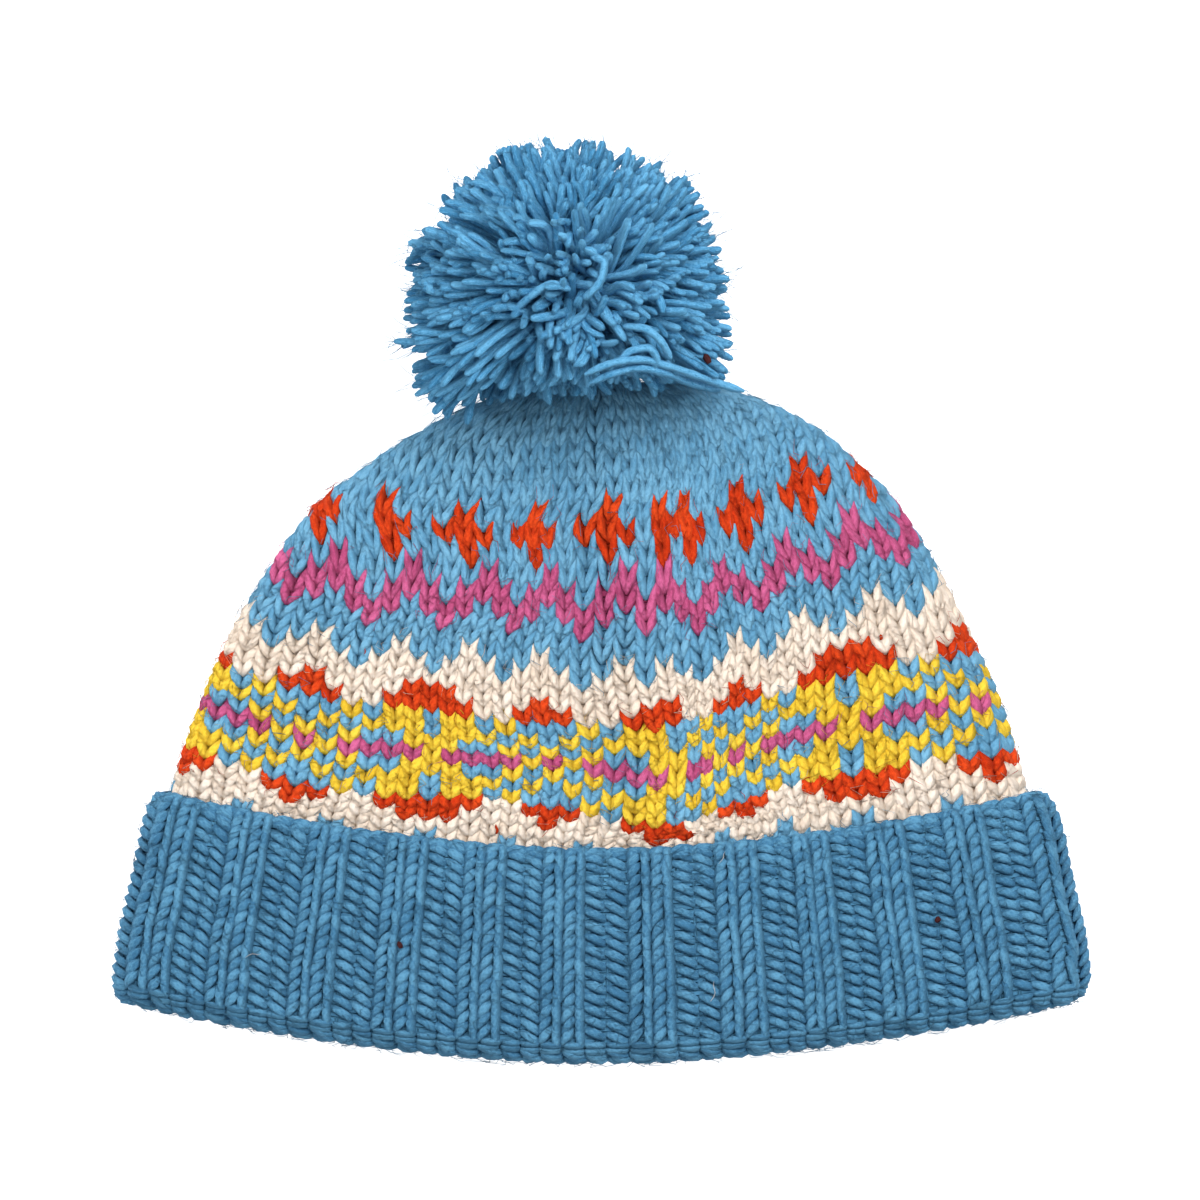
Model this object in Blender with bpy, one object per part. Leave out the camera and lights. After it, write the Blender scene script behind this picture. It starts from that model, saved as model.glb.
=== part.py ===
# Bobble hat, lying flat with its seam side up.
# X runs across the hat, Y along its axis towards the pompom, Z up through its thickness. Metres.
import math

import bmesh
import bpy
from mathutils import Vector

for old in list(bpy.data.objects):
    bpy.data.objects.remove(old)

# Overall sizes
CROWN_WIDTH = 0.2205       # across the crown just above the cuff
CROWN_LENGTH = 0.1573      # side of the crown, from its hidden lower end to the gathered tip
LOWER_END_Y = -0.0992      # where the crown's side starts, inside the fold
THICKNESS = 0.0300         # of the flattened crown
WALL = 0.0050              # knitted crown wall
GAP = 0.0010               # air between pieces

# Cuff
CUFF_HEIGHT = 0.0560
CUFF_WALL = 0.0060
RIBS = 24
RIB_DEPTH = 0.0015
SEGMENTS_PER_RIB = 5

# Crown
CROWN_SEGMENTS = 64
GATHERS = 16
GATHER_DEPTH = 0.0010
ROW_BEND = 1.7             # how the rows curve: 1 is a V, 2 is an arc
BACK_BEND = 0.85           # the rows bend less on the underside
GROOVE_LEFT = 0.0090       # soft dent left of the seam
GROOVE_DEPTH = 0.0026
GROOVE_WIDTH = 0.0070
RIDGE_HEIGHT = 0.0008
RIDGE_WIDTH = 0.0045

# Pompom
POM_X, POM_Y, POM_Z = -0.0080, 0.0828, 0.0322
POM_ACROSS = 0.0430        # half sizes
POM_ALONG = 0.0378
POM_UP = 0.0360
POM_CORE = 0.67            # core, as a share of the half sizes
LOCKS = 54
LOCK_SIDES = 5
TIP_CLEARANCE = 0.0004

# Cross-sections of the crown. along: share of CROWN_LENGTH from the lower end to the tip. half: share
# of CROWN_WIDTH/2. thick, lift: shares of THICKNESS. sag, tilt, shift: shares of CROWN_WIDTH/2, for
# how far the rows dip at the middle, rise to the right, and how far the section stands to the right.
# seam: how far right of the middle the seam lies, as a share of the section's own half width.
SECTIONS = (
    ("along", "half",  "thick", "lift",  "sag",  "tilt", "shift", "seam"),
    (0.000,   1.100,   0.740,   0.224,   0.133,  0.000,  0.000,  0.112),
    (0.085,   1.082,   0.740,   0.224,   0.131,  0.000,  0.000,  0.113),
    (0.170,   1.054,   0.740,   0.224,   0.128,  0.000,  0.000,  0.115),
    (0.250,   1.031,   0.740,   0.224,   0.123,  0.000,  0.000,  0.120),
    (0.335,   1.000,   0.760,   0.222,   0.130,  0.000,  0.000,  0.128),
    (0.400,   0.973,   0.930,   0.085,   0.145,  0.000,  0.002,  0.132),
    (0.460,   0.944,   1.000,   0.000,   0.155,  0.000,  0.004,  0.132),
    (0.580,   0.869,   1.000,   0.000,   0.150,  0.005,  0.001,  0.115),
    (0.700,   0.775,   0.970,   0.000,   0.135,  0.020, -0.001,  0.098),
    (0.785,   0.692,   0.920,   0.000,   0.120,  0.035, -0.009,  0.085),
    (0.828,   0.632,   0.880,   0.000,   0.105,  0.040, -0.020,  0.085),
    (0.870,   0.558,   0.820,   0.000,   0.085,  0.040, -0.010,  0.085),
    (0.910,   0.475,   0.750,   0.015,   0.060,  0.035, -0.007,  0.085),
    (0.950,   0.360,   0.640,   0.055,   0.035,  0.025, -0.002,  0.085),
    (0.975,   0.262,   0.530,   0.110,   0.020,  0.015,  0.000,  0.085),
    (0.990,   0.170,   0.400,   0.170,   0.008,  0.006,  0.000,  0.085),
    (1.000,   0.070,   0.230,   0.240,   0.000,  0.000,  0.000,  0.085),
)
OUTER_ROWS = (0.0, 0.09, 0.18, 0.26, 0.335, 0.40, 0.47, 0.54, 0.61, 0.68, 0.745, 0.80, 0.845, 0.885,
              0.92, 0.948, 0.970, 0.985, 0.995, 1.0)
INNER_ROWS = (0.0, 0.13, 0.26, 0.35, 0.45, 0.56, 0.67, 0.77, 0.84, 0.89, 0.925)

# Cross-section of the cuff. out: how far from the crown's outer face, up: from the bottom of the fold.
# Both are metres, and the named sizes above set them.
C_IN, C_OUT = GAP, GAP + CUFF_WALL
C_END = 0.0062             # height of the crown's lower end above the fold
CUFF_PROFILE = (
    ("out", "up", "rib"),
    (C_OUT * 0.92, CUFF_HEIGHT * 0.095, 0.7),
    (C_OUT, CUFF_HEIGHT * 0.25, 1.0),
    (C_OUT, CUFF_HEIGHT * 0.45, 1.0),
    (C_OUT, CUFF_HEIGHT * 0.65, 1.0),
    (C_OUT, CUFF_HEIGHT * 0.83, 1.0),
    (C_OUT * 0.93, CUFF_HEIGHT * 0.94, 0.8),
    (C_OUT * 0.66, CUFF_HEIGHT * 0.99, 0.4),
    (C_OUT * 0.30, CUFF_HEIGHT * 0.985, 0.0),
    (C_IN, CUFF_HEIGHT * 0.94, 0.0),
    (C_IN, CUFF_HEIGHT * 0.66, 0.0),
    (C_IN, CUFF_HEIGHT * 0.38, 0.0),
    (C_IN, C_END - 2 * GAP, 0.0),
    (-WALL * 0.80, C_END - 2 * GAP, 0.0),
    (-WALL, C_END * 0.70, 0.0),
    (-WALL * 0.78, C_END * 0.22, 0.0),
    (-WALL * 0.05, 0.0, 0.0),
    (C_OUT * 0.58, C_END * 0.16, 0.3),
)


def column(table, name):
    k = table[0].index(name)
    return [row[k] for row in table[1:]]


def smooth(xs, ys, x):
    """Smooth curve through a table that never overshoots its values."""
    x = min(max(x, xs[0]), xs[-1])
    k = max(i for i in range(len(xs) - 1) if xs[i] <= x)
    steps = [(ys[i + 1] - ys[i]) / (xs[i + 1] - xs[i]) for i in range(len(xs) - 1)]

    def slope(i):
        if i == 0 or i == len(xs) - 1:
            return steps[min(i, len(steps) - 1)]
        a, b = steps[i - 1], steps[i]
        return 0.0 if a * b <= 0 else 2 * a * b / (a + b)

    h = xs[k + 1] - xs[k]
    t = (x - xs[k]) / h
    return (ys[k] * (1 + 2 * t) * (1 - t) ** 2 + slope(k) * h * t * (1 - t) ** 2
            + ys[k + 1] * t * t * (3 - 2 * t) + slope(k + 1) * h * t * t * (t - 1))


def section(along):
    xs = column(SECTIONS, "along")
    half = CROWN_WIDTH / 2
    at = {name: smooth(xs, column(SECTIONS, name), along) for name in SECTIONS[0][1:]}
    return {"w": at["half"] * half, "h": at["thick"] * THICKNESS, "lift": at["lift"] * THICKNESS,
            "sag": at["sag"] * half, "tilt": at["tilt"] * half, "shift": at["shift"] * half,
            "seam": at["seam"] * at["half"] * half,
            "y": LOWER_END_Y + along * CROWN_LENGTH, "along": along}


def loop(sec, out=0.0, fine=720):
    """Flattened section as (x, z, nx, nz, run), counted from the middle of the upper side to the
    right, grown by out. The underside is flat where it rests."""
    top, low = 0.55 * sec["h"], 0.45 * sec["h"] * 1.10
    mid = sec["lift"] + 0.45 * sec["h"]
    pts = []
    for i in range(fine):
        a = math.pi / 2 - 2 * math.pi * i / fine
        c, s = math.cos(a), math.sin(a)
        bulge = 2 / (2.35 if s >= 0 else 2.6)
        x = sec["w"] * math.copysign(abs(c) ** bulge, c)
        z = mid + (top if s >= 0 else low) * math.copysign(abs(s) ** bulge, s)
        pts.append((x, max(z, sec["lift"])))
    normals = []
    for i in range(fine):
        (xa, za), (xb, zb) = pts[i - 3], pts[(i + 3) % fine]
        length = math.hypot(xb - xa, zb - za)
        normals.append((-(zb - za) / length, (xb - xa) / length))
    run, out_pts = 0.0, []
    for i in range(fine):
        (x, z), (nx, nz) = pts[i], normals[i]
        if i:
            run += math.hypot(x - pts[i - 1][0], z - pts[i - 1][1])
        out_pts.append((x + nx * out, z + nz * out, nx, nz, run))
    total = run + math.hypot(pts[0][0] - pts[-1][0], pts[0][1] - pts[-1][1])
    return out_pts, total


def bend(sec, x, upper):
    """How far the row at this place stands above the side's height."""
    t = min(1.0, abs(x) / max(sec["w"], 1e-6))
    return -sec["sag"] * (1 - t ** ROW_BEND) * (1.0 if upper else BACK_BEND) + sec["tilt"] * x / sec["w"]


def dent(sec, run):
    """Seam on the upper side: a soft groove and a low ridge, which fade at the tip."""
    small = min(1.0, sec["w"] / 0.06)
    groove = math.exp(-((run - sec["seam"] + GROOVE_LEFT * small) / (GROOVE_WIDTH * small)) ** 2)
    ridge = math.exp(-((run - sec["seam"]) / (RIDGE_WIDTH * small)) ** 2)
    return small * (RIDGE_HEIGHT * ridge - GROOVE_DEPTH * groove)


def ring(sec, count, out=0.0, relief=None, back=0.0, start=0.0):
    """Points evenly spread round one section, taken out by relief. start turns them, as a share of
    one spacing, and back moves them away from the tip."""
    pts, total = loop(sec, out)
    runs = [p[4] for p in pts]
    made, k = [], 0
    for i in range(count):
        want = ((i + start) / count % 1.0) * total
        while k and runs[k] > want:
            k = 0
        while k + 1 < len(runs) and runs[k + 1] <= want:
            k += 1
        a, b = pts[k], pts[(k + 1) % len(pts)]
        far = (b[4] if k + 1 < len(pts) else total) - a[4]
        t = (want - a[4]) / far
        x, z, nx, nz = (a[j] + (b[j] - a[j]) * t for j in range(4))
        signed = want if want < total / 2 else want - total
        extra = dent(sec, signed) if abs(signed) < total / 4 else 0.0
        if relief:
            extra += relief(i + start)
        x, z = x + nx * extra, z + nz * extra
        y = sec["y"] + bend(sec, min(max(x, -sec["w"]), sec["w"]), z > sec["lift"] + 0.45 * sec["h"])
        made.append(Vector((x + sec["shift"], y - back, max(z, 0.0))))
    return made


def skin(name, rings, material, close_start=None, close_end=None, wrap=False):
    """Closed body through rings of points. wrap joins the last ring to the first."""
    mesh = bmesh.new()
    rows = [[mesh.verts.new(p) for p in points] for points in rings]
    pairs = list(zip(rows, rows[1:])) + ([(rows[-1], rows[0])] if wrap else [])
    n = len(rings[0])
    for a, b in pairs:
        for i in range(n):
            mesh.faces.new((a[i], a[(i + 1) % n], b[(i + 1) % n], b[i]))
    for row, centre in ((rows[0], close_start), (rows[-1], close_end)):
        if centre is not None:
            top = mesh.verts.new(centre)
            for i in range(n):
                mesh.faces.new((row[i], row[(i + 1) % n], top))
    bmesh.ops.recalc_face_normals(mesh, faces=mesh.faces)
    if mesh.calc_volume(signed=True) < 0:
        bmesh.ops.reverse_faces(mesh, faces=mesh.faces)
    data = bpy.data.meshes.new(name)
    mesh.to_mesh(data)
    mesh.free()
    obj = bpy.data.objects.new(name, data)
    if material:
        data.materials.append(material)
    return obj


def wool(name, colour):
    m = bpy.data.materials.new(name)
    m.use_nodes = True
    shader = m.node_tree.nodes["Principled BSDF"]
    shader.inputs["Base Color"].default_value = (*colour, 1.0)
    shader.inputs["Roughness"].default_value = 0.9
    return m


hat = bpy.data.collections.new("bobble_hat")
cutters = bpy.data.collections.new("cutters")
for group in (hat, cutters):
    bpy.context.scene.collection.children.link(group)


def gather(along):
    """Gathers round the tip, which deepen towards it."""
    grow = max(0.0, (along - 0.84) / 0.12)
    return lambda i: -GATHER_DEPTH * min(1.0, grow) * (0.5 - 0.5 * math.cos(2 * math.pi * i * GATHERS / CROWN_SEGMENTS))


# Crown: outer face up to the gathered tip, inner face back down, joined by a rounded lower end
def crown_ring(along, inward=0.0):
    sec = section(along)
    if not inward:
        return ring(sec, CROWN_SEGMENTS, 0.0, gather(along))
    # The inner face is the outer one taken in by the wall; near the tip it also moves back.
    steep = min(1.0, max(0.0, (along - 0.72) / 0.28)) ** 2
    return ring(sec, CROWN_SEGMENTS, -inward, back=inward * steep)


outer = [crown_ring(a) for a in OUTER_ROWS]
inner = [crown_ring(a, WALL) for a in INNER_ROWS]
tip = section(1.0)
tip_point = Vector((tip["shift"], tip["y"] + 0.0008, tip["lift"] + tip["h"] / 2))
last = section(INNER_ROWS[-1])
inside_point = Vector((last["shift"], last["y"] + 0.0015, last["lift"] + last["h"] / 2))
lower_end = [crown_ring(0.004, WALL * 0.5)]
for p in lower_end[0]:
    p.y -= GAP
shell = [list(r) for r in reversed(inner)] + lower_end + outer
crown = skin("crown", shell, wool("knitted_wool", (0.10, 0.33, 0.56)), inside_point, tip_point)
hat.objects.link(crown)

# Cuff: one closed profile carried round the crown's lower part, with a rib on the seam
POINTS = RIBS * SEGMENTS_PER_RIB
low_band = section(0.15)
SEAM_POINT = low_band["seam"] / loop(low_band)[1] * POINTS


def ribs(share):
    """Relief of the ribs: 0 on a rib's crest, down to RIB_DEPTH between two ribs."""
    def relief(i):
        turn = 2 * math.pi * (i - SEAM_POINT) / SEGMENTS_PER_RIB
        return share * RIB_DEPTH * (0.5 * math.tanh(1.6 * math.cos(turn)) / math.tanh(1.6) - 0.5)
    return relief


rings = []
for out, up, share in CUFF_PROFILE[1:]:
    sec = section(max(0.0, (up - C_END) / CROWN_LENGTH))
    below = Vector((0, min(0.0, up - C_END), 0))
    rings.append([p + below for p in ring(sec, POINTS, out, ribs(share), start=SEAM_POINT % 1.0)])
cuff = skin("cuff", rings, wool("ribbed_wool", (0.09, 0.30, 0.52)), wrap=True)
hat.objects.link(cuff)


# Pompom: a core with locks of yarn fused to it
def cut(body, tool, how):
    step = body.modifiers.new(how.lower(), "BOOLEAN")
    step.operation, step.solver, step.object = how, "EXACT", tool
    graph = bpy.context.evaluated_depsgraph_get()
    data = bpy.data.meshes.new_from_object(body.evaluated_get(graph))
    body.modifiers.clear()
    body.data = data


def tidy(obj):
    mesh = bmesh.new()
    mesh.from_mesh(obj.data)
    bmesh.ops.remove_doubles(mesh, verts=mesh.verts, dist=0.00005)
    bmesh.ops.dissolve_degenerate(mesh, edges=mesh.edges, dist=0.00002)
    bmesh.ops.triangulate(mesh, faces=mesh.faces)
    mesh.to_mesh(obj.data)
    mesh.free()


def as_cutter(obj):
    cutters.objects.link(obj)
    obj.hide_render = True
    obj.display_type = "WIRE"
    return obj


HALF = Vector((POM_ACROSS, POM_ALONG, POM_UP))
CENTRE = Vector((POM_X, POM_Y, POM_Z))


def core_shape(share, rows=9, cols=16):
    made = []
    for j in range(1, rows):
        lat = math.pi * j / rows - math.pi / 2
        made.append([CENTRE + Vector([share * h * d for h, d in zip(HALF, (
            math.cos(lat) * math.cos(2 * math.pi * i / cols),
            math.cos(lat) * math.sin(2 * math.pi * i / cols), math.sin(lat)))]) for i in range(cols)])
    low, high = (CENTRE + Vector((0, 0, s * share * POM_UP)) for s in (-1, 1))
    return made, low, high


made, low, high = core_shape(POM_CORE)
pompom = skin("pompom", made, wool("pompom_yarn", (0.09, 0.34, 0.60)), low, high)
hat.objects.link(pompom)


def lock(index, way, reach, swirl):
    """One lock: a tapered strip of yarn that leaves the core and bends to one side."""
    side = way.cross(Vector((0.25, 0.1, 1.0))).normalized()
    other = way.cross(side)
    lean = (side * math.cos(swirl) + other * math.sin(swirl)) * 0.22
    rows = []
    for share, fat in ((0.42, 0.100), (0.72, 0.142), (0.90, 0.112), (1.01, 0.050)):
        far = (way + lean * (share - 0.6) ** 2 * 2.4).normalized() * share * reach
        middle = CENTRE + Vector([h * f for h, f in zip(HALF, far)])
        rows.append([middle + (side * math.cos(2 * math.pi * k / LOCK_SIDES)
                               + other * math.sin(2 * math.pi * k / LOCK_SIDES)) * fat * POM_UP * 1.55
                     for k in range(LOCK_SIDES)])
    first = CENTRE + Vector([h * f for h, f in zip(HALF, way * 0.38 * reach)])
    tip_at = CENTRE + Vector([h * f for h, f in zip(HALF, (way + lean * 0.55).normalized() * 1.04 * reach)])
    return skin("lock_%02d" % index, rows, None, first, tip_at)


golden = math.pi * (3 - math.sqrt(5))
for n in range(LOCKS):
    height = 1 - 2 * (n + 0.5) / LOCKS
    flat = math.sqrt(1 - height * height)
    way = Vector((flat * math.cos(golden * n), flat * math.sin(golden * n), height))
    corner = abs(way.x * way.y) / max(1e-6, way.x ** 2 + way.y ** 2)
    reach = (0.97 + 0.10 * corner * flat + 0.025 * math.sin(2.7 * n)) * (1 - 0.10 * max(0.0, -height))
    strand = as_cutter(lock(n, way, reach, 1.9 * n))
    cut(pompom, strand, "UNION")

# Underside flattened where the pompom rests, and hollowed to sit on the crown's gathered tip
bpy.ops.mesh.primitive_cube_add(size=1.0, location=(POM_X, POM_Y, -0.05))
floor = bpy.context.object
floor.name = "floor_cut"
floor.scale = (0.2, 0.2, 0.1)
floor.data.transform(floor.matrix_basis)
floor.matrix_basis.identity()
for group in list(floor.users_collection):
    group.objects.unlink(floor)
as_cutter(floor)
cut(pompom, floor, "DIFFERENCE")
nest_rows = []
for a in (0.61, 0.68, 0.745, 0.80, 0.845, 0.885, 0.92, 0.948, 0.970, 0.985, 0.995, 1.0):
    grow = TIP_CLEARANCE
    sec = section(a)
    nest_rows.append([p + Vector((0, max(0.0, (a - 0.84) / 0.16) * TIP_CLEARANCE, 0))
                      for p in ring(sec, CROWN_SEGMENTS, grow)])
nest_start = section(0.61)
nest = as_cutter(skin("tip_cut", nest_rows, None,
                      Vector((0, nest_start["y"] - 0.004, nest_start["h"] / 2)),
                      tip_point + Vector((0, 2 * TIP_CLEARANCE, 0))))
for v in nest.data.vertices:
    v.co.z -= 0.0005 if v.co.z < 0.001 else 0.0
cut(pompom, nest, "DIFFERENCE")
tidy(pompom)

# The origin goes to the middle of the whole hat's box, at the floor
corners = [obj.data.vertices[k].co for obj in hat.objects for k in range(len(obj.data.vertices))]
middle = Vector([(min(p[a] for p in corners) + max(p[a] for p in corners)) / 2 for a in (0, 1)] + [0.0])
for obj in list(hat.objects) + list(cutters.objects):
    for v in obj.data.vertices:
        v.co -= middle
print("moved by", [round(1000 * c, 2) for c in middle], "mm")

for obj in hat.objects:
    print(obj.name, "faces", len(obj.data.polygons), "triangles",
          sum(len(p.vertices) - 2 for p in obj.data.polygons))
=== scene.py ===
# The looks of a bobble hat that lies flat, seam side up: knitted stitches, rib, pompom yarn, floor, light.
import math

import bmesh
import bpy
import numpy as np
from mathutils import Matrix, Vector


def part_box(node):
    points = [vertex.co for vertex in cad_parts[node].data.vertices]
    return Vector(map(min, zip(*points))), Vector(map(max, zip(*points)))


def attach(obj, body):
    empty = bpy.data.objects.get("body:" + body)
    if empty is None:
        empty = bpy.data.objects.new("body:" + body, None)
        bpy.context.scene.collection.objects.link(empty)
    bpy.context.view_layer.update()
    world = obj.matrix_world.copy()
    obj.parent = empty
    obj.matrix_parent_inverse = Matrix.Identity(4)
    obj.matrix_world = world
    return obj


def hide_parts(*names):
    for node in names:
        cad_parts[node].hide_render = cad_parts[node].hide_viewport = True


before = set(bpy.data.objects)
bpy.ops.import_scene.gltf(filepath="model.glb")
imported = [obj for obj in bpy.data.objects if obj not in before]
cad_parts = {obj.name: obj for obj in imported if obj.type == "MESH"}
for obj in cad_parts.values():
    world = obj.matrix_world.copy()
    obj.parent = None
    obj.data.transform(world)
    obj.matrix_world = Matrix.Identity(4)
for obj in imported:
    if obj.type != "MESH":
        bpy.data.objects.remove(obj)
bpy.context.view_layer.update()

# The hat's sizes, as in the part
CROWN_WIDTH = 0.2205
CROWN_LENGTH = 0.1573
LOWER_END_Y = -0.0992
THICKNESS = 0.0300
WALL = 0.0050
GAP = 0.0010
CUFF_HEIGHT = 0.0560
CUFF_WALL = 0.0060
C_END = 0.0062
RIBS = 24
RIB_DEPTH = 0.0015
ROW_BEND = 1.7
BACK_BEND = 0.85
GROOVE_LEFT = 0.0090
GROOVE_DEPTH = 0.0026
GROOVE_WIDTH = 0.0070
RIDGE_HEIGHT = 0.0008
RIDGE_WIDTH = 0.0045
POM = np.array((-0.0080, 0.0828, 0.0322))
POM_HALF = np.array((0.0430, 0.0378, 0.0360))

# Sizes of the camera's view: it hangs CAMERA_HIGH above the floor, and at the height PLANE the picture is
# PICTURE_WIDE across
CAMERA_HIGH = 1.75
PLANE = 0.016
PICTURE_WIDE = 0.312

# Cross-sections of the crown, from its lower end to its tip, as shares of the sizes above
SECTIONS = (
    ("along", "half",  "thick", "lift",  "sag",  "tilt", "shift", "seam"),
    (0.000,   1.100,   0.740,   0.224,   0.133,  0.000,  0.000,  0.112),
    (0.085,   1.082,   0.740,   0.224,   0.131,  0.000,  0.000,  0.113),
    (0.170,   1.054,   0.740,   0.224,   0.128,  0.000,  0.000,  0.115),
    (0.250,   1.031,   0.740,   0.224,   0.123,  0.000,  0.000,  0.120),
    (0.335,   1.000,   0.760,   0.222,   0.130,  0.000,  0.000,  0.128),
    (0.400,   0.973,   0.930,   0.085,   0.145,  0.000,  0.002,  0.132),
    (0.460,   0.944,   1.000,   0.000,   0.155,  0.000,  0.004,  0.132),
    (0.580,   0.869,   1.000,   0.000,   0.150,  0.005,  0.001,  0.115),
    (0.700,   0.775,   0.970,   0.000,   0.135,  0.020, -0.001,  0.098),
    (0.785,   0.692,   0.920,   0.000,   0.120,  0.035, -0.009,  0.085),
    (0.828,   0.632,   0.880,   0.000,   0.105,  0.040, -0.020,  0.085),
    (0.870,   0.558,   0.820,   0.000,   0.085,  0.040, -0.010,  0.085),
    (0.910,   0.475,   0.750,   0.015,   0.060,  0.035, -0.007,  0.085),
    (0.950,   0.360,   0.640,   0.055,   0.035,  0.025, -0.002,  0.085),
    (0.975,   0.262,   0.530,   0.110,   0.020,  0.015,  0.000,  0.085),
    (0.990,   0.170,   0.400,   0.170,   0.008,  0.006,  0.000,  0.085),
    (1.000,   0.070,   0.230,   0.240,   0.000,  0.000,  0.000,  0.085),
)

# Rows of knitting on the crown. row: counted down from the zigzag's side of the pattern. along: share
# of CROWN_LENGTH. pitch: width of a stitch against its width at row 6.
ROWS = (
    ("row", "along", "pitch"),
    (-18,   1.005,   0.28),
    (-17,   0.991,   0.46),
    (-16,   0.974,   0.62),
    (-15,   0.957,   0.74),
    (-13,   0.918,   0.86),
    (-10,   0.848,   0.91),
    (-8,    0.795,   0.88),
    (-6,    0.735,   0.86),
    (-3,    0.662,   0.86),
    (0,     0.584,   0.91),
    (3,     0.527,   0.96),
    (6,     0.471,   1.00),
    (10,    0.382,   1.04),
    (14,    0.287,   1.06),
)
# How far the stitches lie along a row, from the seam. Runs are shares of CROWN_WIDTH/2 at row 6.
WALES = (
    ("wale", "run"),
    (-30.0, -1.470),
    (-22.5, -1.105),
    (-19.5, -0.935),
    (-14.5, -0.671),
    (-9.5,  -0.427),
    (-4.5,  -0.191),
    (-2.5,  -0.099),
    (0.0,    0.021),
    (4.5,    0.200),
    (8.5,    0.363),
    (12.5,   0.560),
    (16.5,   0.784),
    (17.5,   0.842),
    (26.0,   1.285),
)
# Rows hang a little lower on the left and at the seam, and stand higher on the right.
# across: share of the section's half width. drop: share of CROWN_LENGTH.
HANG = (
    ("across", "drop"),
    (-1.00,  0.000), (-0.85,  0.008), (-0.68,  0.021), (-0.50,  0.018), (-0.30,  0.006),
    (-0.05,  0.001), (0.06,   0.004), (0.13,   0.020), (0.22,   0.011), (0.38,  -0.008),
    (0.60,  -0.016), (0.80,  -0.015), (0.92,  -0.004), (1.00,   0.000),
)

# The fabric is pulled a little askew: how many stitches to the right, and how many rows down, each part
# of the knitting lies from its regular place. A line for each row below, a column for each wale.
DRIFT_WALES = (-25, -21, -17, -13, -9, -5, -2, 1, 4, 8, 12, 16, 20)
DRIFT_ROWS = (-11, -8, -5, -2, 1, 4, 7, 10, 13)
DRIFT_RIGHT = (
    ( 0.6,  1.3,  1.9,  2.3,  2.5,  2.0,  2.0,  1.8,  1.3,  1.0,  0.6, -0.3, -0.5),
    ( 0.4,  0.9,  1.4,  1.8,  1.7,  1.1,  1.5,  1.8,  1.5,  1.6,  1.3,  0.0, -0.1),
    (-0.2,  0.0,  0.5,  0.6,  0.6,  0.3,  0.6,  1.4,  1.5,  2.0,  1.9,  1.3,  0.9),
    (-0.5, -0.8, -0.3, -0.2, -0.5, -0.5,  0.1,  0.8,  1.7,  1.8,  1.8,  1.8,  1.3),
    (-0.5, -0.5, -0.1, -0.3, -0.6, -0.5,  0.2,  0.8,  0.9,  1.3,  1.3,  1.1,  0.5),
    (-0.1,  0.0,  0.1,  0.2, -0.3, -0.1,  0.3,  0.6,  0.2,  0.4,  0.7,  0.4, -0.2),
    ( 0.4,  0.3,  0.3,  0.2,  0.1,  0.1,  0.1,  0.2, -0.3, -0.3,  0.1, -0.1, -0.4),
    ( 0.8,  0.4,  0.3,  0.3,  0.3,  0.0,  0.0,  0.1,  0.0, -0.2, -0.1, -0.2, -0.5),
    ( 1.0,  0.5,  0.0,  0.3,  0.3, -0.2, -0.3,  0.9,  0.7,  0.2,  0.2, -0.1, -0.5),
)
DRIFT_DOWN = (
    ( 0.6,  0.4, -0.1, -0.5, -0.1, -0.1, -0.6,  0.0,  0.8,  0.8,  0.3,  0.0, -0.3),
    ( 0.6,  0.4, -0.1, -0.5,  0.0,  0.1, -0.4, -0.1,  0.9,  0.7,  0.2, -0.1, -0.4),
    ( 0.5,  0.5,  0.5, -0.1, -0.1,  0.1,  0.2,  0.2,  0.5,  0.6,  0.1, -0.5, -0.9),
    ( 0.4,  0.4,  0.1, -0.4, -0.4,  0.0,  0.4,  0.2,  0.0, -0.2, -0.4, -1.0, -1.1),
    ( 0.3,  0.2, -0.4, -0.9, -0.5, -0.1, -0.1, -0.6, -0.3, -0.6, -0.9, -0.8, -0.8),
    ( 0.2,  0.3,  0.0, -0.6,  0.1,  0.1,  0.1, -0.4, -0.1, -0.3, -0.3, -0.2, -0.3),
    ( 0.3,  0.3,  0.1, -0.3, -0.1, -0.3,  0.8,  0.7,  0.2, -0.1,  0.1,  0.2,  0.0),
    (-0.1,  0.1,  0.0, -0.1, -0.5,  0.1,  1.2,  1.2,  0.4, -0.1,  0.2,  0.4,  0.1),
    (-0.5, -0.4, -0.3, -0.3, -0.3, -0.2,  0.0, -0.5, -0.8, -0.7, -0.3, -0.1,  0.1),
)

# The pattern's middle band, a traditional repeat of twelve stitches, charted from the top
# down: R orange-red, Y yellow, B blue, M magenta, c cream. The rows below row 6 mirror those above.
CHART = {1: "RRccccRccccR", 2: "RRRccRRRccRR", 3: "BYYBYBBBYBYY",
         4: "BYYYBYBYBYYY", 5: "YYBBYBYBYBBY", 6: "YMMMMYMYMMMM"}
CHART_START = 2            # the chart's column right of the seam, where the repeat breaks off
SEAM_WALE = "RRBBYYYBBRRR"     # the stitches of the seam's own wale, from row 1 down


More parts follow.
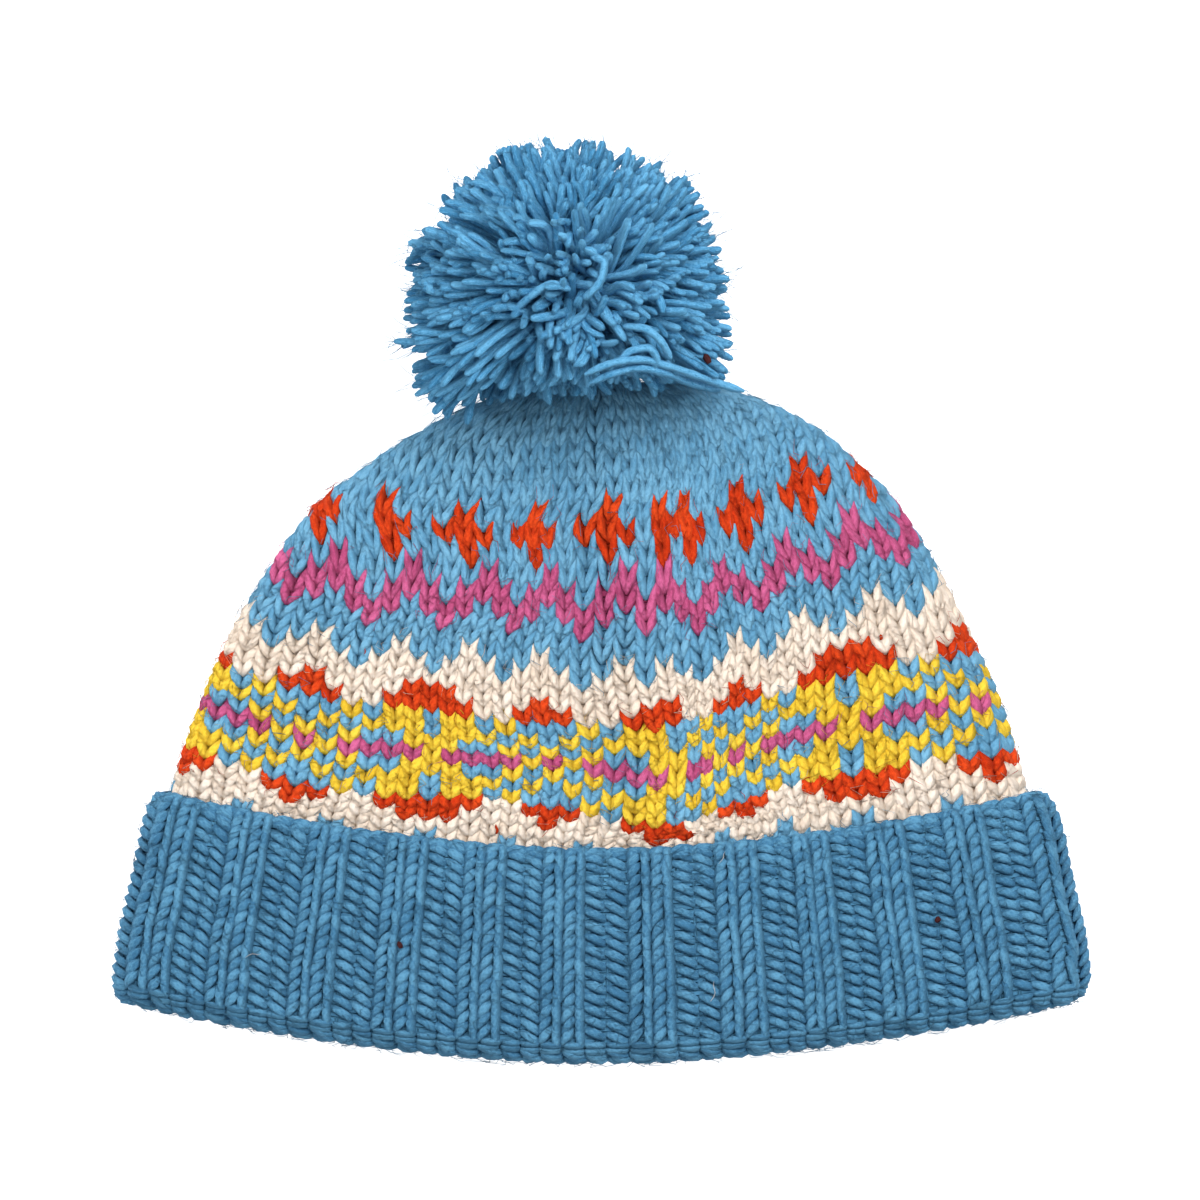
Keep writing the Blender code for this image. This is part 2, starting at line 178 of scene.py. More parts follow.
def wool_at(wale, row):
    """Which wool a stitch is made of."""
    col = (wale + (CHART_START if wale >= 0 else 0)) % 12
    if (wale == 0 and row in (-8, -9, -10)) or (wale == 1 and row == -9):
        return "R"
    if wale == 0 and 1 <= row <= len(SEAM_WALE):
        return SEAM_WALE[row - 1]
    if (wale, row) == (-1, 12):
        return "R"
    peak = (0, 1, 2, 1)[col % 4]
    if 1 <= row <= 11:
        return CHART[row if row <= 6 else 12 - row][col]
    if -2 <= row <= 0:
        return "c" if -row <= peak else "B"
    if 12 <= row <= 14:
        return "c" if row - 12 <= peak else "B"
    if row + peak in (-4, -5):
        return "M"
    # Small crosses: left of the seam each lies a stitch further right, and two lack their left arm
    arm = (col - (1 if wale < -1 else 0)) % 4
    if (arm == 0 and row in (-8, -9, -10)) or (arm in (1, 3) and row == -9 and wale not in (-1, -16)):
        return "R"
    return "B"


# Tables and smooth curves through them
def column(table, name):
    """One column of a table, by the name in its first line."""
    k = table[0].index(name)
    return np.array([row[k] for row in table[1:]], float)


def smooth(xs, ys, x):
    """Smooth curve through a table that never overshoots its values."""
    x = np.clip(np.asarray(x, float), xs[0], xs[-1])
    steps = np.diff(ys) / np.diff(xs)
    slope = np.zeros(len(xs))
    slope[0], slope[-1] = steps[0], steps[-1]
    a, b = steps[:-1], steps[1:]
    same = a * b > 0
    slope[1:-1][same] = 2 * a[same] * b[same] / (a[same] + b[same])
    k = np.clip(np.searchsorted(xs, x, side="right") - 1, 0, len(xs) - 2)
    h = xs[k + 1] - xs[k]
    t = (x - xs[k]) / h
    return (ys[k] * (1 + 2 * t) * (1 - t) ** 2 + slope[k] * h * t * (1 - t) ** 2
            + ys[k + 1] * t * t * (3 - 2 * t) + slope[k + 1] * h * t * t * (t - 1))


def at(table, by, name, x):
    """A column's value where another column has the value x."""
    return smooth(column(table, by), column(table, name), x)


def section(along):
    """Sizes in metres of the crown's cross-section at a share of its length."""
    half = CROWN_WIDTH / 2
    s = {name: float(at(SECTIONS, "along", name, along)) for name in SECTIONS[0][1:]}
    return {"w": s["half"] * half, "h": s["thick"] * THICKNESS, "lift": s["lift"] * THICKNESS,
            "sag": s["sag"] * half, "tilt": s["tilt"] * half, "shift": s["shift"] * half,
            "seam": s["seam"] * s["half"] * half, "y": LOWER_END_Y + along * CROWN_LENGTH}


FINE = 720                 # points of a ring while it is drawn
AROUND = 640               # evenly spread points of a finished ring


def ring(sec, out=0.0, relief=None, below=0.0):
    """One row's points, evenly spread by share from the middle of the upper side to the right."""
    top, low = 0.55 * sec["h"], 0.45 * sec["h"] * 1.10
    mid = sec["lift"] + 0.45 * sec["h"]
    a = math.pi / 2 - 2 * math.pi * np.arange(FINE) / FINE
    c, s = np.cos(a), np.sin(a)
    bulge = np.where(s >= 0, 2 / 2.35, 2 / 2.6)
    x = sec["w"] * np.sign(c) * np.abs(c) ** bulge
    z = np.maximum(mid + np.where(s >= 0, top, low) * np.sign(s) * np.abs(s) ** bulge, sec["lift"])
    dx, dz = np.roll(x, -3) - np.roll(x, 3), np.roll(z, -3) - np.roll(z, 3)
    length = np.hypot(dx, dz)
    nx, nz = -dz / length, dx / length
    run = np.concatenate(([0.0], np.cumsum(np.hypot(np.diff(x), np.diff(z)))))
    total = run[-1] + math.hypot(x[0] - x[-1], z[0] - z[-1])
    want = np.arange(AROUND) / AROUND * total
    wrap = lambda v: np.interp(want, np.append(run, total), np.append(v, v[0]))
    x, z, nx, nz = (wrap(v) for v in (x + nx * out, z + nz * out, nx, nz))
    signed = np.where(want < total / 2, want, want - total)
    small = min(1.0, sec["w"] / 0.06)
    groove = np.exp(-((signed - sec["seam"] + GROOVE_LEFT * small) / (GROOVE_WIDTH * small)) ** 2)
    ridge = np.exp(-((signed - sec["seam"]) / (RIDGE_WIDTH * small)) ** 2)
    extra = np.where(np.abs(signed) < total / 4,
                     small * (RIDGE_HEIGHT * ridge - GROOVE_DEPTH * groove), 0.0)
    if relief is not None:
        extra = extra + relief(np.arange(AROUND) / AROUND)
    x, z = x + nx * extra, z + nz * extra
    t = np.minimum(1.0, np.abs(x) / sec["w"])
    upper = z > sec["lift"] + 0.45 * sec["h"]
    y = (sec["y"] + below - sec["sag"] * (1 - t ** ROW_BEND) * np.where(upper, 1.0, BACK_BEND)
         + sec["tilt"] * np.clip(x / sec["w"], -1, 1))
    return np.stack((x + sec["shift"], y, np.maximum(z, 0.0004)), 1), total


class Skin:
    """A surface through rings: points and outward normals at (share round, place along)."""

    def __init__(self, places, rings):
        self.places = np.array(places, float)
        self.grid = np.array(rings)
        across = np.roll(self.grid, -2, 1) - np.roll(self.grid, 2, 1)
        up = np.gradient(self.grid, axis=0)
        n = np.cross(across, up)
        n /= np.maximum(np.linalg.norm(n, axis=2, keepdims=True), 1e-12)
        self.normals = n

    def __call__(self, share, place, out=0.0):
        share = np.mod(np.asarray(share, float), 1.0) * AROUND
        row = np.interp(place, self.places, np.arange(len(self.places)))
        i0 = np.minimum(row.astype(int), len(self.places) - 2)
        ti = (row - i0)[..., None]
        j0 = share.astype(int) % AROUND
        tj = (share - np.floor(share))[..., None]
        j1 = (j0 + 1) % AROUND

        def mix(g):
            return ((g[i0, j0] * (1 - tj) + g[i0, j1] * tj) * (1 - ti)
                    + (g[i0 + 1, j0] * (1 - tj) + g[i0 + 1, j1] * tj) * ti)
        n = mix(self.normals)
        n /= np.linalg.norm(n, axis=-1, keepdims=True)
        return mix(self.grid) + n * np.asarray(out)[..., None] + SHIFT, n


# The frame stands a fraction of a millimetre off the drawing's own middle
tip_y = LOWER_END_Y + CROWN_LENGTH + 0.0008
lo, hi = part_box("crown")
wide = [ring(section(a))[0][:, 0] for a in (0.0, 0.02)]
SHIFT = np.array(((lo[0] + hi[0]) / 2 - (wide[0].min() + wide[0].max()) / 2, hi[1] - tip_y, 0.0))

crown_places = np.concatenate((np.linspace(0.0, 0.9, 150), np.linspace(0.9, 1.0, 60)[1:]))
crown_rings = [ring(section(a)) for a in crown_places]
crown_skin = Skin(crown_places, [r[0] for r in crown_rings])
girth = np.array([r[1] for r in crown_rings])
seam_run = np.array([section(a)["seam"] for a in crown_places])
half_at = np.array([section(a)["w"] for a in crown_places])


def drift(table, wale, row):
    """A value from a drift table, fading away round the hat's sides to the back."""
    table = np.array(table)
    w = np.interp(wale, DRIFT_WALES, np.arange(len(DRIFT_WALES)))
    r = np.interp(row, DRIFT_ROWS, np.arange(len(DRIFT_ROWS)))
    i, j = np.minimum(r.astype(int), len(DRIFT_ROWS) - 2), np.minimum(w.astype(int), len(DRIFT_WALES) - 2)
    a, b = r - i, w - j
    a, b = a * a * (3 - 2 * a), b * b * (3 - 2 * b)
    value = ((table[i, j] * (1 - b) + table[i, j + 1] * b) * (1 - a)
             + (table[i + 1, j] * (1 - b) + table[i + 1, j + 1] * b) * a)
    return value * np.clip((wale + 36) / 9, 0, 1) * np.clip((30 - wale) / 9, 0, 1)


def stitch_place(wale, row):
    """(share round, place along) of a point in the knitting, given by wale and row numbers."""
    wale, row = wale + drift(DRIFT_RIGHT, wale, row), row + drift(DRIFT_DOWN, wale, row)
    along = at(ROWS, "row", "along", row)
    scale = at(ROWS, "row", "pitch", row) * CROWN_WIDTH / 2
    tab_w, tab_r = column(WALES, "wale"), column(WALES, "run")
    run = smooth(tab_w, tab_r, wale)
    run = run + np.where(wale > tab_w[-1], (wale - tab_w[-1]) * 0.0494, 0.0)
    run = run + np.where(wale < tab_w[0], (wale - tab_w[0]) * 0.0487, 0.0)
    total = np.interp(along, crown_places, girth)
    run = run * scale + np.interp(along, crown_places, seam_run)
    share = run / total
    half = np.interp(along, crown_places, half_at)
    across = np.where(np.abs(share) < 0.25, np.clip(run / half * 0.97, -1, 1), 1.0)
    along = along - np.interp(across, column(HANG, "across"), column(HANG, "drop")) * np.clip(
        (along - 0.30) / 0.08, 0.0, 1.0) * np.clip((1.0 - along) / 0.12, 0.0, 1.0)
    return share, np.clip(along, 0.0, 1.0)


# The cuff's skin runs from the fold's inner edge, round the fold, up the outer face and over the top
C_IN, C_OUT = GAP, GAP + CUFF_WALL
CUFF_PROFILE = (
    ("out", "up", "rib"),
    (-WALL, C_END * 1.6, 0.0),
    (-WALL, C_END * 0.70, 0.0),
    (-WALL * 0.78, C_END * 0.22, 0.0),
    (-WALL * 0.05, 0.0, 0.0),
    (C_OUT * 0.58, C_END * 0.16, 0.3),
    (C_OUT * 0.92, CUFF_HEIGHT * 0.095, 0.7),
    (C_OUT, CUFF_HEIGHT * 0.25, 1.0),
    (C_OUT, CUFF_HEIGHT * 0.45, 1.0),
    (C_OUT, CUFF_HEIGHT * 0.65, 1.0),
    (C_OUT, CUFF_HEIGHT * 0.83, 1.0),
    (C_OUT * 0.93, CUFF_HEIGHT * 0.94, 0.8),
    (C_OUT * 0.66, CUFF_HEIGHT * 0.99, 0.4),
    (C_OUT * 0.30, CUFF_HEIGHT * 0.985, 0.0),
    (C_IN, CUFF_HEIGHT * 0.94, 0.0),
    (C_IN, CUFF_HEIGHT * 0.70, 0.0),
)
low_band = section(0.15)
SEAM_SHARE = low_band["seam"] / ring(low_band)[1]


def rib_spread(wale):
    """The ribs are stretched wider on the side that faces up, most of all just right of the seam."""
    far = np.abs(wale)
    return (np.sign(wale) * np.where(far < 22, 0.050 * far, 1.10 * (48 - far) / 26)
            + 0.5 * np.exp(-((wale - 5.0) / 3.5) ** 2))


def rib_relief(share):
    """Relief of the ribs: 0 on a rib's crest, down to RIB_DEPTH between two ribs."""
    def relief(u):
        wale = (np.mod(u - SEAM_SHARE + 0.5, 1.0) - 0.5) * RIBS * 4
        turn = math.pi / 2 * (wale - rib_spread(wale))
        return share * RIB_DEPTH * (0.5 * np.tanh(1.6 * np.cos(turn)) / math.tanh(1.6) - 0.5)
    return relief


prof = np.array(CUFF_PROFILE[1:])
step = np.concatenate(([0.0], np.cumsum(np.hypot(np.diff(prof[:, 0]), np.diff(prof[:, 1])))))
fine = np.linspace(0, step[-1], 90)
rounded = np.stack([np.interp(fine, step, prof[:, k]) for k in range(3)], 1)
for _ in range(3):
    rounded[1:-1] = (rounded[:-2] + 2 * rounded[1:-1] + rounded[2:]) / 4
rings = []
for out, up, share in rounded:
    sec = section(max(0.0, (up - C_END) / CROWN_LENGTH))
    rings.append(ring(sec, out, rib_relief(share), min(0.0, up - C_END))[0])
cuff_skin = Skin(fine, rings)
FOLD = float(np.interp(0.0, rounded[3:30, 0] - C_OUT * 0.58, fine[3:30]))
TOP = float(fine[int(np.argmax(rounded[:, 1]))])


# Materials
def fill(node, values):
    """Sets a node's own input values."""
    for name, value in values.items():
        node.inputs[name].default_value = value
    return node


def wire(tree, *pairs):
    """Links nodes: each pair is (node, its output, node, its input)."""
    for start, output, end, into in pairs:
        tree.links.new(start.outputs[output], end.inputs[into])


def new_material(name, values):
    """A material with these values of its shader."""
    m = bpy.data.materials.new(name)
    m.use_nodes = True
    fill(m.node_tree.nodes["Principled BSDF"], values)
    return m


def wool(name, light, dark, fuzz=0.25):
    """Wool yarn: fibres along the strand, a soft sheen and a little change from strand to strand."""
    m = new_material(name, {"Roughness": 0.85, "Specular IOR Level": 0.12, "Sheen Weight": fuzz,
                            "Sheen Roughness": 0.5,
                            "Sheen Tint": (*[min(1.0, c * 1.1 + 0.04) for c in light], 1.0)})
    nodes = m.node_tree.nodes
    shader = nodes["Principled BSDF"]
    uv = nodes.new("ShaderNodeUVMap")
    uv.uv_map = "UVMap"
    strand = nodes.new("ShaderNodeAttribute")
    strand.attribute_name = "shade"
    noises = []
    for stretch, turn, detail in (((0.15, 3.0, 1.0), 0.16, 4.0), ((0.50, 7.0, 1.0), 0.10, 3.0)):
        mapping = fill(nodes.new("ShaderNodeMapping"), {"Scale": stretch, "Rotation": (0.0, 0.0, turn)})
        fibre = fill(nodes.new("ShaderNodeTexNoise"), {"Scale": 3.0, "Detail": detail, "Roughness": 0.6})
        wire(m.node_tree, (uv, "UV", mapping, "Vector"), (mapping, "Vector", fibre, "Vector"))
        noises.append(fibre)
    half = fill(nodes.new("ShaderNodeMath"), {1: 0.45})
    half.operation = "MULTIPLY"
    fibres = fill(nodes.new("ShaderNodeMath"), {1: 0.55})
    fibres.operation = "MULTIPLY_ADD"
    toned = nodes.new("ShaderNodeMath")
    toned.operation = "ADD"
    soft = fill(nodes.new("ShaderNodeMapRange"), {"From Min": 0.41, "From Max": 0.60})
    tint = nodes.new("ShaderNodeMix")
    tint.data_type = "RGBA"
    fill(tint, {"A": (*dark, 1.0), "B": (*light, 1.0)})
    bump = fill(nodes.new("ShaderNodeBump"), {"Strength": 1.0, "Distance": 0.0012})
    coarse, close_set = noises
    wire(m.node_tree,
         (close_set, "Fac", half, 0),
         (coarse, "Fac", fibres, 0),
         (half, 0, fibres, 2),
         (fibres, 0, toned, 0),
         (strand, "Fac", toned, 1),
         (toned, 0, soft, "Value"),
         (soft, "Result", tint, "Factor"),
         (tint, "Result", shader, "Base Color"),
         (fibres, 0, bump, "Height"),
         (bump, "Normal", shader, "Normal"))
    return m


WOOLS = {
    "B": ("blue", wool("crown_blue_wool", (0.190, 0.445, 0.645), (0.102, 0.297, 0.480))),
    "c": ("cream", wool("cream_wool", (0.930, 0.810, 0.700), (0.800, 0.655, 0.525))),
    "R": ("orange_red", wool("orange_red_wool", (0.750, 0.070, 0.010), (0.510, 0.026, 0.002))),
    "Y": ("yellow", wool("yellow_wool", (0.930, 0.660, 0.062), (0.740, 0.455, 0.024))),
    "M": ("magenta", wool("magenta_wool", (0.640, 0.130, 0.300), (0.420, 0.060, 0.165))),
}
# The cuff's blue is a darker copy of the crown's blue wool: painted shade, as the cuff lies darker than the
# crown in the light.
cuff_shaded_wool = wool("cuff_blue_wool", (0.108, 0.302, 0.475), (0.043, 0.158, 0.289))
pom_wool = wool("pompom_blue_wool", (0.142, 0.432, 0.700), (0.048, 0.232, 0.445))


def knit_ground(name, colour, attribute=None):
    """Fabric behind the stitches, with soft bumps in rows."""
    m = new_material(name, {"Roughness": 0.95, "Specular IOR Level": 0.1, "Base Color": (*colour, 1.0)})
    nodes = m.node_tree.nodes
    shader = nodes["Principled BSDF"]
    uv = nodes.new("ShaderNodeUVMap")
    uv.uv_map = "UVMap"
    brick = fill(nodes.new("ShaderNodeTexBrick"), {"Scale": 1.0, "Brick Width": 1.0, "Row Height": 0.5,
                                                   "Mortar Size": 0.12, "Mortar Smooth": 1.0})
    bump = fill(nodes.new("ShaderNodeBump"), {"Strength": 0.9, "Distance": 0.0012})
    bump.invert = True
    wire(m.node_tree,
         (uv, "UV", brick, "Vector"),
         (brick, "Fac", bump, "Height"),
         (bump, "Normal", shader, "Normal"))
    if attribute:
        read = nodes.new("ShaderNodeAttribute")
        read.attribute_name = attribute
        wire(m.node_tree, (read, "Color", shader, "Base Color"))
    return m


# Geometry Nodes: turns polylines into yarn
def yarn_tree():
    tree = bpy.data.node_groups.new("yarn_along_lines", "GeometryNodeTree")
    face = tree.interface
    face.new_socket("Lines", in_out="INPUT", socket_type="NodeSocketGeometry")
    thick = face.new_socket("Thickness", in_out="INPUT", socket_type="NodeSocketFloat")
    sides = face.new_socket("Sides", in_out="INPUT", socket_type="NodeSocketInt")
    mat = face.new_socket("Wool", in_out="INPUT", socket_type="NodeSocketMaterial")
    face.new_socket("Yarn", in_out="OUTPUT", socket_type="NodeSocketGeometry")
    thick.default_value, sides.default_value = 1.0, 6
    new = tree.nodes.new

    def read(name):
        node = fill(new("GeometryNodeInputNamedAttribute"), {"Name": name})
        node.data_type = "FLOAT"
        return node

    def store(name, kind, domain):
        node = fill(new("GeometryNodeStoreNamedAttribute"), {"Name": name})
        node.data_type, node.domain = kind, domain
        return node

    come, go = new("NodeGroupInput"), new("NodeGroupOutput")
    curve = new("GeometryNodeMeshToCurve")
    radius_of = read("thick")
    times = new("ShaderNodeMath")
    times.operation = "MULTIPLY"
    set_radius = new("GeometryNodeSetCurveRadius")
    length = new("GeometryNodeSplineParameter")
    keep = store("lengthwise", "FLOAT", "POINT")
    circle = fill(new("GeometryNodeCurvePrimitiveCircle"), {"Radius": 1.0})
    factor = new("GeometryNodeSplineParameter")
    keep_round = store("round", "FLOAT", "POINT")
    tube = fill(new("GeometryNodeCurveToMesh"), {"Fill Caps": True})
    read_l, read_r = read("lengthwise"), read("round")
    join = new("ShaderNodeCombineXYZ")
    millimetres = fill(new("ShaderNodeMath"), {1: 1000.0})
    millimetres.operation = "MULTIPLY"
    store_uv = store("UVMap", "FLOAT2", "CORNER")
    shade = new("GeometryNodeSetShadeSmooth")
    realize = new("GeometryNodeRealizeInstances")
    paint = new("GeometryNodeSetMaterial")
    wire(tree,
         (come, "Lines", curve, "Mesh"),
         (radius_of, "Attribute", times, 0),
         (come, "Thickness", times, 1),
         (curve, "Curve", set_radius, "Curve"),
         (times, 0, set_radius, "Radius"),
         (set_radius, "Curve", keep, "Geometry"),
         (length, "Length", keep, "Value"),
         (come, "Sides", circle, "Resolution"),
         (circle, "Curve", keep_round, "Geometry"),
         (factor, "Factor", keep_round, "Value"),
         (keep, "Geometry", tube, "Curve"),
         (keep_round, "Geometry", tube, "Profile Curve"),
         (times, 0, tube, "Scale"),
         (read_l, "Attribute", millimetres, 0),
         (millimetres, 0, join, "X"),
         (read_r, "Attribute", join, "Y"),
         (tube, "Mesh", store_uv, "Geometry"),
         (join, "Vector", store_uv, "Value"),
         (store_uv, "Geometry", shade, "Geometry"),
         (shade, "Geometry", realize, "Geometry"),
         (realize, "Geometry", paint, "Geometry"),
         (come, "Wool", paint, "Material"),
         (paint, "Geometry", go, "Yarn"))
    return tree, thick.identifier, sides.identifier, mat.identifier


YARN, YARN_THICK, YARN_SIDES, YARN_WOOL = yarn_tree()


def to_collection(obj):
    """Puts an object into the scene."""
    bpy.context.scene.collection.objects.link(obj)
    return obj


def yarn(name, lines, thick, shades, material, sides=5):
    """A plain mesh of yarn. lines is (count, points, 3), thick is (count, points), and shades has one value
    a line or one a point."""
    count, points = thick.shape
    thick = thick * (1 + rng.normal(0.0, 0.05, thick.shape))
    mesh = bpy.data.meshes.new(name + "_lines")
    mesh.vertices.add(count * points)
    mesh.vertices.foreach_set("co", lines.reshape(-1))
    first = (np.arange(count)[:, None] * points + np.arange(points - 1)[None, :]).reshape(-1)
    mesh.edges.add(len(first))
    mesh.edges.foreach_set("vertices", np.stack((first, first + 1), 1).reshape(-1))
    shades = np.broadcast_to(shades.reshape(count, -1), (count, points))
    for label, values in (("thick", thick), ("shade", shades)):
        mesh.attributes.new(label, "FLOAT", "POINT").data.foreach_set("value", values.reshape(-1).copy())
    carrier = to_collection(bpy.data.objects.new(name + "_lines", mesh))
    work = carrier.modifiers.new("yarn", "NODES")
    work.node_group = YARN
    work[YARN_THICK], work[YARN_SIDES], work[YARN_WOOL] = 1.0, sides, material
    graph = bpy.context.evaluated_depsgraph_get()
    made = bpy.data.meshes.new_from_object(carrier.evaluated_get(graph))
    made.name = name
    bpy.data.objects.remove(carrier)
    for label in ("thick", "lengthwise", "round"):
        if label in made.attributes:
            made.attributes.remove(made.attributes[label])
    obj = to_collection(bpy.data.objects.new(name, made))
    if not made.materials:
        made.materials.append(material)
    return obj


def wear(obj, node):
    """Hangs a piece on the hat's root and hides the part of the hat that it dresses."""
    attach(obj, "root")
    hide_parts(node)


rng = np.random.default_rng(7)


# One knitted stitch: two legs that meet at the foot. Each line of a shape is a point along a leg, from the
# foot up: x in stitch widths, y in rows, out and thick in shares of the yarn's thickness.
LEG_LEFT = (
    (-0.02, -0.88, -0.60, 0.36),
    (-0.12, -0.62, 0.04, 0.82),
    (-0.24, -0.26, 0.16, 1.04),
    (-0.35, 0.14, 0.08, 0.96),
    (-0.43, 0.54, -0.06, 0.72),
    (-0.48, 0.96, -0.45, 0.34),
)
LEG_RIGHT = (
    (0.01, -0.88, -0.60, 0.36),
    (0.10, -0.62, 0.06, 0.84),
    (0.22, -0.26, 0.20, 1.08),
    (0.34, 0.14, 0.10, 1.00),
    (0.43, 0.54, -0.06, 0.74),
    (0.49, 0.96, -0.45, 0.34),
)


def legs(wales, rows, place, skin, pitch, yarn_thick, deep=0.0, shapes=(LEG_LEFT, LEG_RIGHT)):
    """Lines of both legs of every stitch. place turns wale and row numbers into a spot on the skin."""
    all_lines, all_thick, all_shade = [], [], []
    tone = rng.uniform(-0.06, 0.06, len(wales))
    for shape in shapes:
        x, y, out, thick = np.array(shape).T
        sway = rng.normal(0.0, 0.028, (len(wales), 2))
        w = wales[:, None] + x[None, :] + sway[:, :1]
        r = rows[:, None] - y[None, :] - sway[:, 1:]
        fat = yarn_thick * (1 + rng.normal(0.0, 0.05, len(wales)))[:, None] * pitch(rows)[:, None]
        share, along = place(w, r)
        lines, _ = skin(share, along, (out[None, :] * fat - fat * 0.55 - deep))
        lines[..., 2] = np.maximum(lines[..., 2], 1.1 * thick[None, :] * fat)      # rests on the floor
        all_lines.append(lines)
        all_thick.append(thick[None, :] * fat)
        all_shade.append(tone + rng.uniform(-0.03, 0.03, len(wales)))
    return np.concatenate(all_lines), np.concatenate(all_thick), np.concatenate(all_shade)


# Crown stitches, one piece for each wool
def crown_pitch(rows):
    return np.clip(at(ROWS, "row", "pitch", rows), 0.50, 1.05)


ALL_ROWS = range(-17, 15)
ALL_WALES = range(-60, 60)
LOWEST = 0.27              # stitches below this share of the crown's length would lie inside the cuff

groups = {key: [] for key in WOOLS}
for row in ALL_ROWS:
    for wale in ALL_WALES:
        share, along = stitch_place(np.array([wale + 0.5]), np.array([float(row)]))
        if abs(share[0]) <= 0.5 and along[0] > LOWEST:
            groups[wool_at(wale, row)].append((wale + 0.5, float(row)))
for key, spots in groups.items():
    spots = np.array(spots)
    label, material = WOOLS[key]
    lines, thick, shade = legs(spots[:, 0], spots[:, 1], stitch_place, crown_skin, crown_pitch, 0.00146,
                              deep=0.0004)
    piece = yarn("crown_%s_stitches" % label, lines, thick, shade, material)
    wear(piece, "crown")


# Fabric behind the crown's stitches, and the crown's inside, in darker tones: painted shade
def wall_mesh(name, skin, shares, places, outs, inner_places, inner_out, uv_scale, colour_at, capped=False):
    """A wall round the hat: an outer face at outs, and an inner face back down at inner_out. A capped wall
    is closed at its top; the others are bands."""
    mesh = bmesh.new()
    uv_layer = mesh.loops.layers.uv.new("UVMap")
    paint = mesh.loops.layers.float_color.new("wool_colour")
    n = len(shares)
    rows, marks = [], []
    for place, out in zip(places, outs):
        pts, _ = skin(shares, np.full(n, place), np.full(n, out))
        rows.append([mesh.verts.new(p) for p in pts])
        marks.append(place)
    for place in inner_places:
        pts, _ = skin(shares, np.full(n, place), np.full(n, inner_out))
        rows.append([mesh.verts.new(p) for p in pts])
        marks.append(-place)
    top = len(places) - 1
    for a in range(len(rows)):
        if capped and a == top:
            continue
        b = (a + 1) % len(rows)
        for i in range(n):
            f = mesh.faces.new((rows[a][i], rows[a][(i + 1) % n], rows[b][(i + 1) % n], rows[b][i]))
            f.smooth = True
            tone = colour_at(shares[i], (abs(marks[a]) + abs(marks[b])) / 2, marks[a] < 0)
            corners = ((i, marks[a]), (i + 1, marks[a]), (i + 1, marks[b]), (i, marks[b]))
            for loop, (col, mark) in zip(f.loops, corners):
                loop[uv_layer].uv = (col / n * uv_scale[0], abs(mark) * uv_scale[1])
                loop[paint] = (*tone, 1.0)
    for row in (rows[top], rows[top + 1]) if capped else ():
        cap = mesh.faces.new(row)
        for loop in cap.loops:
            loop[paint] = (*colour_at(0.0, 1.0, False), 1.0)
    bmesh.ops.recalc_face_normals(mesh, faces=mesh.faces)
    if mesh.calc_volume(signed=True) < 0:
        bmesh.ops.reverse_faces(mesh, faces=mesh.faces)
    data = bpy.data.meshes.new(name)
    mesh.to_mesh(data)
    mesh.free()
    return to_collection(bpy.data.objects.new(name, data))


# Darker tones of each wool for the fabric behind the stitches, painted shade in the gaps between them; the
# next tone is the crown's inside, darkened as painted shade in its hollow.
SHADED_GROUND = {"B": (0.080, 0.240, 0.400), "c": (0.700, 0.550, 0.420), "R": (0.450, 0.030, 0.006),
        "Y": (0.520, 0.330, 0.030), "M": (0.340, 0.045, 0.130)}
INSIDE_SHADE = (0.045, 0.150, 0.265)
probe_w, probe_r = np.meshgrid(np.array(ALL_WALES) + 0.5, np.array(ALL_ROWS, float))
probe_s, probe_a = stitch_place(probe_w, probe_r)
ok = np.abs(probe_s) <= 0.5
probe = np.stack((probe_s[ok], probe_a[ok]), 1)
probe_colour = [SHADED_GROUND[wool_at(int(w - 0.5), int(r))] for w, r in zip(probe_w[ok], probe_r[ok])]


def shaded_ground_colour(share, place, inside):
    """Colour of the fabric behind the stitches: a darker tone of the nearest stitch's wool, painted shade for
    the gaps; the inside has its own painted shade.
    """
    if inside:
        return INSIDE_SHADE
    if place < 0.3:
        return SHADED_GROUND["B"]
    s = share if share <= 0.5 else share - 1.0
    near = np.argmin(((probe[:, 0] - s) * 2.2) ** 2 + (probe[:, 1] - place) ** 2)
    return probe_colour[near]


CROWN_WALES = 82
shares = np.arange(2 * CROWN_WALES) / (2 * CROWN_WALES)
up_places = np.concatenate((np.linspace(0.0, 0.3, 5), np.linspace(0.32, 0.94, 44), np.linspace(0.95, 1.0, 7)))
up_outs = np.where(up_places > 0.3, -0.0019, 0.0)
down_places = np.linspace(0.90, 0.0, 16)
crown_wall = wall_mesh("crown_wall", crown_skin, shares, up_places, up_outs, down_places, -WALL,
                       (CROWN_WALES, 40.0), shaded_ground_colour, capped=True)
crown_wall.data.materials.append(knit_ground("crown_ground", SHADED_GROUND["B"], "wool_colour"))
wear(crown_wall, "crown")


# Cuff: rib of two knitted and two purled stitches, upside down because the cuff is turned up
CUFF_WALES = RIBS * 4
CUFF_ROWS = 18
ROW_RISE = (TOP - FOLD) / (CUFF_ROWS + 1.0)


def cuff_place(wale, row):
    """Wale 0 is the first knitted stitch right of the seam, row 0 is the fold's lowest edge."""
    pushed = 0.30 * np.clip(-wale / 3.0, 0.0, 1.0) * np.clip((wale + 24.0) / 5.0, 0.0, 1.0)
    wider = 0.10 * np.sin(math.pi * wale / 2)      # knitted columns are wider than purled ones
    return SEAM_SHARE + (wale + rib_spread(wale) + wider - pushed) / CUFF_WALES, FOLD + row * ROW_RISE


def cuff_down(wale, row):
    # legs() counts rows downwards, and the cuff's run upwards
    return cuff_place(wale, -row)


